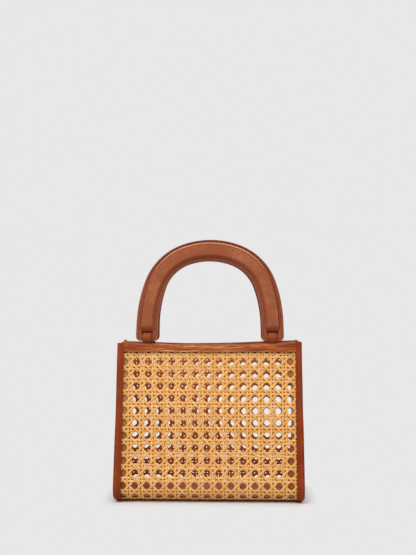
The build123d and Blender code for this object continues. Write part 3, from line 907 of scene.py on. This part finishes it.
# Padded face: flat flanges, then the least of three straight ramps (outer side, inner side, leg end), soft
# at foot and brow, with a slightly crowned top and dents under the seams. Returns the height and the tone
def padFace(d, u, end, lines):
    inner, seamIn, footIn, browIn, browOut, footOut, seamOut, outer = np.moveaxis(lines[:, :, None], 1, 0)
    rampOut = (footOut - u) / (footOut - browOut)
    rampIn = (u - footIn) / (browIn - footIn)
    rampEnd = (end - handle["padSetback"]) / handle["endSlope"]
    ramp = np.clip(np.minimum(np.minimum(rampOut, rampIn), rampEnd), 0, 1)
    soft = (1 - handle["softness"]) * ramp + handle["softness"] * ramp * ramp * (3 - 2 * ramp)
    middle = (browIn + browOut) / 2
    crown = handle["padCrown"] * np.clip(1 - ((u - middle) / handle["crownHalf"]) ** 2, 0, 1)
    corner = handle["seamCorner"]                         # of the U-shaped seam
    across = np.maximum(np.maximum(u - seamOut, seamIn - u) + corner, 0)
    upward = np.maximum(handle["endSeam"] + corner - end, 0)
    seams = bell(np.hypot(across, upward) - corner, handle["seamWidth"])
    edge = smooth(np.maximum(u - outer, inner - u), -handle["edgeWidth"], 0)
    height = handle["facing"] + soft * (handle["padRise"] + crown)
    height = height - handle["seamDent"] * seams - handle["edgeDrop"] * edge
    onPad = smooth(end, handle["padSetback"] - 1, handle["padSetback"] + 1)
    # painted shade in the creases at the pad's feet
    foot = (bell(u - footOut, padTone["footWidth"]) + bell(u - footIn, padTone["footWidth"])) * onPad
    slope = (1 - np.abs(2 * ramp - 1)) * smooth(rampEnd, *padTone["slopeFrom"])
    atCrown = 1 - legShare(d)
    legWidth, crownWidth = padTone["browWidth"]
    # painted shade and painted highlight along the brows
    brow = bell(u - browOut + padTone["browIn"], legWidth + (crownWidth - legWidth) * atCrown) * onPad
    # darker crown flanges, on the inner one as painted shade under the pad
    part = np.where(u > middle, 1.0, padTone["innerPart"])
    flange = padTone["plain"] + padTone["crownFlange"] * atCrown * part
    tone = flange + (padTone["plain"] - flange) * soft
    tone = tone + padTone["edge"] * edge + padTone["foot"] * foot + padTone["seam"] * seams
    left, right = (always + more * atCrown for always, more in (padTone["brow"][-1], padTone["brow"][1]))
    tone = tone + brow * np.where(d > 0, right, left) + padTone["waver"] * wander(d, padTone["waverRun"])
    # painted highlight on the outer slope at the crown, painted shade on it down the legs and on the inner
    # slope
    always, more = padTone["outerSlopeHighlightAndShade"]
    tone = tone + slope * np.where(u > middle, always + more * atCrown, padTone["innerSlopeShade"])
    # painted shade over the slot
    slotTop = handle["slotFoot"] + handle["slotHeight"]
    below, above = padTone["overRun"]
    shadeOverSlot = smooth(end, slotTop - below, slotTop) * (1 - smooth(end, slotTop, slotTop + above))
    shadeOverSlot = shadeOverSlot * smooth(np.minimum(u - footIn, footOut - u), *padTone["overSide"])
    tone = tone + padTone["shadeOverSlot"] * shadeOverSlot
    return height, tone


# U-shaped seam round both leg ends and along both flanges, as rows of holes
def seamHoles(face, proud):
    half = handle["width"] / 2
    legEnd = armRun - handle["endSeam"]
    straight = legEnd - handle["seamTurn"]
    rows = []
    for key, stretch in zip(("outerSeam", "innerSeam"), handle["seamStretch"]):
        d = np.linspace(-straight, straight, int(2 * straight * stretch / stitch["pitch"]))
        u = half - slide(key, d) if key == "outerSeam" else slide("trim", d) + slide(key, d) - half
        rows.append(handlePoint(d, u, proud, face))
    turn = np.linspace(0, np.pi, 9)
    acrossPower, endPower = handle["seamSquare"]
    bow = np.sign(np.cos(turn)) * np.abs(np.cos(turn)) ** acrossPower
    outer, inner = half - handle["outerSeam"][1], handle["trim"][1] + handle["innerSeam"][1] - half
    for sign in (-1, 1):
        d = sign * (straight + (legEnd - straight) * np.sin(turn) ** endPower)
        rows.append(handlePoint(d, (outer + inner) / 2 + (outer - inner) / 2 * bow, proud, face))
    return rows


# Tone of the flat leather: darker at the cut edges, with painted shade round the slot above the bar
backTone = {
    "plain": 0.36, "edge": -0.2, "waver": 0.05, "waverRun": 90.0,
    # painted shade round the slot above the bar
    "paintedSlotShade": -0.4, "slotShadeMore": 0.6, "slotShadeFoot": (5.5, 7.0), "slotShadeTop": (11.0, 12.0),
}


# One handle: the padded leather in front, the flat one behind it, and the seam through both
def makeHandle(label, face, body):
    d, u, end, lines, keep = handleGrid(handle["slotHeight"])
    proud, tone = padFace(d, u, end, lines)
    facing = slab(label + "_handle_padded_leather", handlePoint(d, u, proud, face),
                  handlePoint(d, u, 0.0, face), [handleLeather, edgePaint], keep, tone)
    settle(facing, body, [label + "_handle_facing"])
    d, u, end, lines, keep = handleGrid(handle["slotBehind"])
    edge = smooth(np.maximum(u - lines[:, -1:], lines[:, :1] - u), -handle["backEdge"], 0)
    # painted shade round the slot above the bar, seen through the padded leather's slot
    paintedSlotShade = smooth(handle["slotWidth"] / 2 + backTone["slotShadeMore"] - np.abs(u), 0, 1)
    paintedSlotShade = paintedSlotShade * smooth(end, *backTone["slotShadeFoot"]) * (1 - smooth(end, *backTone["slotShadeTop"]))
    tone = backTone["plain"] + backTone["edge"] * edge + backTone["waver"] * wander(d, backTone["waverRun"])
    tone = tone + backTone["paintedSlotShade"] * paintedSlotShade
    behind = handlePoint(d, u, handle["edgeDrop"] * edge - handle["backing"], face)
    backing = slab(label + "_handle_flat_leather", handlePoint(d, u, 0.0, face), behind,
                   [handleLeather, edgePaint], keep, tone)
    settle(backing, body, [label + "_handle_backing"])
    normal = handlePoint(0.0, 0.0, 1.0, face) - handlePoint(0.0, 0.0, 0.0, face)
    sinkFront, sinkBack = handle["seamSink"]
    seams = (("stitches", handle["facing"] - sinkFront, normal),
             ("back_stitches", sinkBack - handle["backing"], -normal))
    for kind, proud, up in seams:
        for count, holes in enumerate(seamHoles(face, proud)):
            stitchRun(f"{label}_handle_{kind}_{count}", holes, np.broadcast_to(up, holes.shape), body)


makeHandle("front", -1, "front_handle")
makeHandle("back", 1, "back_handle")
print("handles made")

# Rim band: leather folded over the wall's top edge, crinkled along, with a slit for each tab
band = {
    "height": 10.0, "innerHeight": 11.6,
    "columns": 200, "legRows": 20, "foldRows": 13,
    "sag": {-1: 1.7, 1: 1.4},                             # front and back rim, midway between the bindings
    "endRise": 0.8, "endSpan": (30, 72),                  # rise near the bindings, and where it comes in
    "tilt": {-1: (0.7, 45, 85), 1: (1.1, -30, 60)},       # front and back rim, up on the right, and where
    "lip": 0.3, "lipRun": 75.0, "lipSpan": (8, 10),       # wavering lower edge
    "streaks": 420, "streakLength": (3.0, 16.0), "streakWidth": (0.22, 0.45),
    "streakWave": 0.5, "streakTurn": 7.0,
    "creases": ((7.1, 2.3), (1.4, 1.5)),                  # long ones: above the lower edge, and how strong
    "creaseFrom": (-55, -25), "creaseTo": (50, 80), "creaseWidth": 0.4,
    "creaseWave": 0.25, "creaseRun": 60.0, "creaseFade": 0.4, "fadeRun": 35.0,
    "calm": 0.3, "calmSpan": (42, 75),                    # fewer crinkles towards the ends
    "crease": 0.1, "creaseRim": 3.0,                      # height of a crinkle, full this far from the rim
    "slit": 10.2, "slitCells": (3, 4),                    # cells of the fold outside the slit, front and back
    "bulge": 0.55, "bulgeMore": 1.2, "bulgeSlope": 1.6,   # over the tab's tails
    "bulgeTop": (1.5, 3.0), "bulgeFoot": (7.2, 8.4),
    # tone: the back band's lower tone is painted shade
    "tone": {-1: 0.43, 1: 0.2}, "creaseTone": 0.23, "bulgeTone": 0.06,
    "endTone": 0.12, "endToneSpan": (50, 85),             # darker towards the ends
    "bevel": 0.25,
}


# Crinkles: short streaks along the band, each flat-topped along and bell-shaped across, on a slightly wavy
# line, and two long creases that fade in and out
def crinkles(x, across):
    count = band["streaks"]
    middle, level = chance.uniform(-halfWidth, halfWidth, count), chance.uniform(0, across.max(), count)
    length, width = chance.uniform(*band["streakLength"], count), chance.uniform(*band["streakWidth"], count)
    power, phase = chance.normal(0, 1, count), chance.uniform(0, 2 * np.pi, count)
    wave = level[:, None] + band["streakWave"] * np.sin(x[None] / band["streakTurn"] + phase[:, None])
    along = power[:, None] * np.exp(-((x[None] - middle[:, None]) / length[:, None]) ** 4)
    profile = bell(across[None, None] - wave[:, :, None], width[:, None, None])
    height = (along[:, :, None] * profile).sum(0)
    where = smooth(x, *band["creaseFrom"]) * (1 - smooth(x, *band["creaseTo"]))
    for level, power in band["creases"]:
        wave = level + band["creaseWave"] * wander(x, band["creaseRun"])
        strength = power * where * (1 - band["creaseFade"] + band["creaseFade"] * wander(x, band["fadeRun"]))
        height = height + strength[:, None] * bell(across[None] - wave[:, None], band["creaseWidth"])
    return height


# Fold: front leg, half round over the cane's edge, back leg, as two skins; sags between the bindings
def makeBand(name, face):
    thick = bag["leather"]
    middle, outer = -bag["cane"] / 2, bag["cane"] / 2 + thick
    turn = np.linspace(0, np.pi, band["foldRows"])
    leg = np.linspace(band["height"], outer, band["legRows"])[:-1]
    legIn = np.linspace(outer, band["innerHeight"], band["legRows"])[1:]
    slitHalf = band["slit"] / 2
    beside = np.concatenate([np.linspace(-slitHalf - 2, slitHalf + 2, 15), [-slitHalf, slitHalf]])
    x = np.linspace(-halfWidth, halfWidth, band["columns"])
    x = np.unique(np.round(np.concatenate([x, tabPlaces[1] + beside, tabPlaces[-1] + beside]), 3))
    fold = np.concatenate([band["height"] - leg, band["height"] - outer + outer * turn,
                           np.pi * outer + band["height"] - 2 * outer + legIn])
    crease = crinkles(x, fold) * (1 - band["calm"] * smooth(np.abs(x), *band["calmSpan"])[:, None])
    toTab = np.minimum(np.abs(x - tabPlaces[-1]), np.abs(x - tabPlaces[1]))
    box = smooth(slitHalf + band["bulgeMore"] - toTab, 0, band["bulgeSlope"])[:, None]
    tilt, tiltStart, tiltEnd = band["tilt"][face]
    drop = band["sag"][face] * (1 - (x / halfWidth) ** 2)
    drop = drop - band["endRise"] * smooth(np.abs(x), *band["endSpan"]) - tilt * smooth(x, tiltStart, tiltEnd)
    lip = band["lip"] * wander(x, band["lipRun"])
    sheets = []
    for radius in (outer, outer - thick):
        run = np.concatenate([leg, outer - radius * np.sin(turn), legIn])
        proud = np.concatenate([np.full(len(leg), middle + radius), middle + radius * np.cos(turn),
                                np.full(len(leg), middle - radius)])
        press = smooth(run, *band["bulgeTop"])[None] * (1 - smooth(run, *band["bulgeFoot"]))[None]
        swell = band["crease"] * crease * smooth(run, 0, band["creaseRim"])[None]
        swell = swell + band["bulge"] * box * press
        lower = drop[:, None] * (1 - run / band["innerHeight"])[None]
        lower = lower + lip[:, None] * smooth(run, *band["lipSpan"])[None]
        out = proud[None] + np.sign(proud - middle) * swell
        sheets.append(mirrored(wallPoint(x[:, None], run[None] + lower, out), face))
    slit = (toTab[:-1] + toTab[1:]) / 2 < slitHalf
    cell = np.arange(len(fold) - 1)
    before, after = band["slitCells"]
    overTop = (cell >= len(leg) + before) & (cell < len(leg) + len(turn) - after)
    # the back band's lower tone is painted shade
    tone = band["tone"][face] + band["creaseTone"] * crease + band["bulgeTone"] * box
    tone = tone - band["endTone"] * smooth(np.abs(x), *band["endToneSpan"])[:, None]
    piece = slab(name, sheets[0], sheets[1], [bandLeather, edgePaint], ~(slit[:, None] & overTop[None]), tone,
                 band["bevel"])
    settle(piece, "bag", [name.replace("_leather", "")])


makeBand("front_top_band_leather", -1)
makeBand("back_top_band_leather", 1)

# Loop tab: a strap round the handle's end bar, its two tails side by side in the band
tab = {
    "width": 9.8, "thick": 1.15,
    "loop": 4.45,            # inner radius
    "tail": 4.0,             # below the rim
    "join": 62.0,            # degrees from the loop's lowest point to where a tail joins it
    "flareFoot": 0.4,        # below the rim, where the tails start to part
    "flarePull": (2.2, 2.6),             # how far the flare keeps each end's direction
    "gap": 0.02,             # from a tail to the middle plane of the cane
    "columns": 9, "crown": 0.12,
    "tone": 0.26, "edgeTone": 0.15, "topPaintedLight": 0.2, "topSpan": (8, 10),    # top: painted highlight on the loop, this far above the rim
    "bevel": 0.25,
}
rim = np.array([0.0, -bag["rimDepth"] / 2, bag["leather"] + bag["wallHeight"]])
pivotRun = (rim - pivot) @ np.array([0.0, np.sin(lean), np.cos(lean)])     # negative: above the rim


# Strap's middle line in the wall's side view: a tail, a cubic flare, the loop's circle and the same back
def makeTab(name, side, face):
    radius = tab["loop"] + tab["thick"] / 2
    join = np.deg2rad(tab["join"])
    t = np.linspace(0, 1, 9)[:, None]
    start = np.array([tab["thick"] / 2 + tab["gap"], tab["flareFoot"]])
    end = np.array([radius * np.sin(join), pivotRun + radius * np.cos(join)])
    leave = start - np.array([0.0, tab["flarePull"][0]])
    arrive = end - np.array([np.cos(join), -np.sin(join)]) * tab["flarePull"][1]
    flare = start * (1 - t) ** 3 + 3 * leave * t * (1 - t) ** 2 + 3 * arrive * t ** 2 * (1 - t) + end * t ** 3
    tail = np.stack([np.full(4, start[0]), np.linspace(tab["tail"], start[1], 5)[:-1]], -1)
    turn = np.linspace(join, 2 * np.pi - join, 34)[1:-1]
    loop = np.stack([radius * np.sin(turn), pivotRun + radius * np.cos(turn)], -1)
    line = np.concatenate([tail, flare, loop, (flare * [-1, 1])[::-1], (tail * [-1, 1])[::-1]])
    ahead = np.gradient(line, axis=0)
    normal = np.stack([-ahead[:, 1], ahead[:, 0]], -1) / np.linalg.norm(ahead, axis=1, keepdims=True)
    across = np.linspace(-1, 1, tab["columns"])
    x = tabPlaces[side] + across * tab["width"] / 2
    crown = tab["crown"] * (1 - across ** 2)
    sheets = []
    for half in (tab["thick"] / 2, -tab["thick"] / 2):
        skin = line[:, None] + normal[:, None] * (half + crown[None, :, None])
        sheets.append(mirrored(wallPoint(x[None], skin[:, :, 1], -bag["cane"] / 2 + skin[:, :, 0]), face))
    tone = tab["tone"] - tab["edgeTone"] * np.abs(across)[None] ** 4
    # painted highlight on the loop's top
    tone = tone + tab["topPaintedLight"] * smooth(-line[:, 1], *tab["topSpan"])[:, None]
    piece = slab(name, sheets[0], sheets[1], [bandLeather, edgePaint], None, tone, tab["bevel"])
    settle(piece, "bag", [name.replace("_strap", "")])


for sideName, side in (("left", -1), ("right", 1)):
    for faceName, face in (("front", -1), ("back", 1)):
        makeTab(f"{faceName}_{sideName}_tab_strap", side, face)
print("bands and tabs made")

# Stage, in metres: a pale floor that keeps the shadow near the bag and fades into the even backdrop
stage = {
    "grey": "#e8e8e8", "paper": "#d8d8d8",
    "floorHalf": 3.0,
    "footprint": (0.098, 0.045, 0.0),                # half sizes of the bag's stand
    "shadowFull": 0.003, "shadowEnd": 0.018,         # past the footprint
    "fill": 0.42,                                    # strength of the world as a light
}


# 1 for a ray that looks, 0 for one that gathers light: the greatest of camera, glossy and transmission
def lookingRay(tree):
    path = addNode(tree, "ShaderNodeLightPath")
    glossy = addNode(tree, "ShaderNodeMath", {"operation": "MAXIMUM"},
                     {0: path.outputs["Is Camera Ray"], 1: path.outputs["Is Glossy Ray"]})
    looking = addNode(tree, "ShaderNodeMath", {"operation": "MAXIMUM"},
                      {0: glossy.outputs[0], 1: path.outputs["Is Transmission Ray"]})
    return looking.outputs[0]


# Matt paper, plain to the light; to looking rays it turns into the backdrop's grey with the distance from the
# footprint, which is the length of what is left of the place's size after the footprint's half sizes
def makeFloor():
    half = stage["floorHalf"]
    corners = [(-half, -half, 0), (half, -half, 0), (half, half, 0), (-half, half, 0)]
    mesh = bpy.data.meshes.new("studio_floor")
    mesh.from_pydata(corners, [], [(0, 1, 2, 3)])
    floor = bpy.data.objects.new("studio_floor", mesh)
    bpy.context.scene.collection.objects.link(floor)
    material, tree = newMaterial("matt paper sweep")[:2]
    tree.nodes.clear()
    place = addNode(tree, "ShaderNodeTexCoord").outputs["Object"]
    away = addNode(tree, "ShaderNodeVectorMath", {"operation": "ABSOLUTE"}, {0: place})
    past = addNode(tree, "ShaderNodeVectorMath", {"operation": "SUBTRACT", 1: stage["footprint"]},
                   {0: away.outputs[0]})
    beyond = addNode(tree, "ShaderNodeVectorMath", {"operation": "MAXIMUM"}, {0: past.outputs[0]})
    reach = addNode(tree, "ShaderNodeVectorMath", {"operation": "LENGTH"}, {0: beyond.outputs[0]})
    near = addNode(tree, "ShaderNodeMapRange",
                   {"From Min": stage["shadowEnd"], "From Max": stage["shadowFull"]},
                   {"Value": reach.outputs["Value"]})
    paper = addNode(tree, "ShaderNodeBsdfDiffuse", {"Color": hexColour(stage["paper"])})
    even = addNode(tree, "ShaderNodeEmission", {"Color": hexColour(stage["grey"])})
    seen = addNode(tree, "ShaderNodeMixShader", None,
                   {0: near.outputs[0], 1: even.outputs[0], 2: paper.outputs[0]})
    both = addNode(tree, "ShaderNodeMixShader", None,
                   {0: lookingRay(tree), 1: paper.outputs[0], 2: seen.outputs[0]})
    addNode(tree, "ShaderNodeOutputMaterial", None, {"Surface": both.outputs[0]})
    mesh.materials.append(material)


# Even grey to looking rays, and a weaker white light to the rest
def makeWorld():
    world = bpy.data.worlds.new("studio")
    bpy.context.scene.world = world
    world.use_nodes = True
    tree = world.node_tree
    tree.nodes.clear()
    backdrop = addNode(tree, "ShaderNodeBackground", {"Color": hexColour(stage["grey"])})
    fill = addNode(tree, "ShaderNodeBackground", {"Color": (1, 1, 1, 1), "Strength": stage["fill"]})
    both = addNode(tree, "ShaderNodeMixShader", None,
                   {0: lookingRay(tree), 1: fill.outputs[0], 2: backdrop.outputs[0]})
    addNode(tree, "ShaderNodeOutputWorld", None, {"Surface": both.outputs[0]})


# Lamps, in metres and watts: a softbox, a weaker one on the right and one behind the bag
lights = {
    "key": {"place": (-0.7, -0.7, 1.42), "size": 1.4, "power": 19.5},
    "fill": {"place": (0.55, -0.75, 1.5), "size": 1.1, "power": 9.0},
    "behind": {"place": (0.4, 1.3, 1.1), "size": 1.4, "power": 9.0},
}
lightAim = np.array([0.0, 0.0, 0.12])    # middle of the bag


# Square lamps turned to the aim: tilt from the fall and the flat distance, then a turn about the upright
def makeLights():
    for name, one in lights.items():
        lamp = bpy.data.lights.new(name, "AREA")
        lamp.energy = one["power"]
        lamp.size = one["size"]
        thing = bpy.data.objects.new(name, lamp)
        thing.location = one["place"]
        aim = lightAim - np.array(one["place"])
        flat = np.hypot(aim[0], aim[1])
        thing.rotation_euler = (np.arctan2(flat, -aim[2]), 0, np.arctan2(-aim[0], aim[1]))
        bpy.context.scene.collection.objects.link(thing)


# Camera, in millimetres and degrees
camera = {
    "side": -2.0, "distance": 931.0, "height": 200.8,
    "yaw": 1.8, "tilt": -1.24,
    "lens": 55.29, "sensor": 36.0, "shiftY": 0.095,
}


# Camera in front of the bag, carried round it by the yaw
def makeCamera():
    data = bpy.data.cameras.new("camera")
    data.lens = camera["lens"]
    data.sensor_width = camera["sensor"]
    data.shift_y = camera["shiftY"]
    yaw = np.deg2rad(camera["yaw"])
    across = camera["side"] * np.cos(yaw) + camera["distance"] * np.sin(yaw)
    ahead = camera["side"] * np.sin(yaw) - camera["distance"] * np.cos(yaw)
    thing = bpy.data.objects.new("camera", data)
    thing.location = np.array([across, ahead, camera["height"]]) * mm
    thing.rotation_euler = (np.deg2rad(90 + camera["tilt"]), 0, yaw)
    bpy.context.scene.collection.objects.link(thing)
    bpy.context.scene.camera = thing


makeFloor()
makeWorld()
makeLights()
makeCamera()
bpy.context.scene.view_settings.view_transform = "Standard"
print("stage, lights and camera made")

bpy.context.view_layer.update()
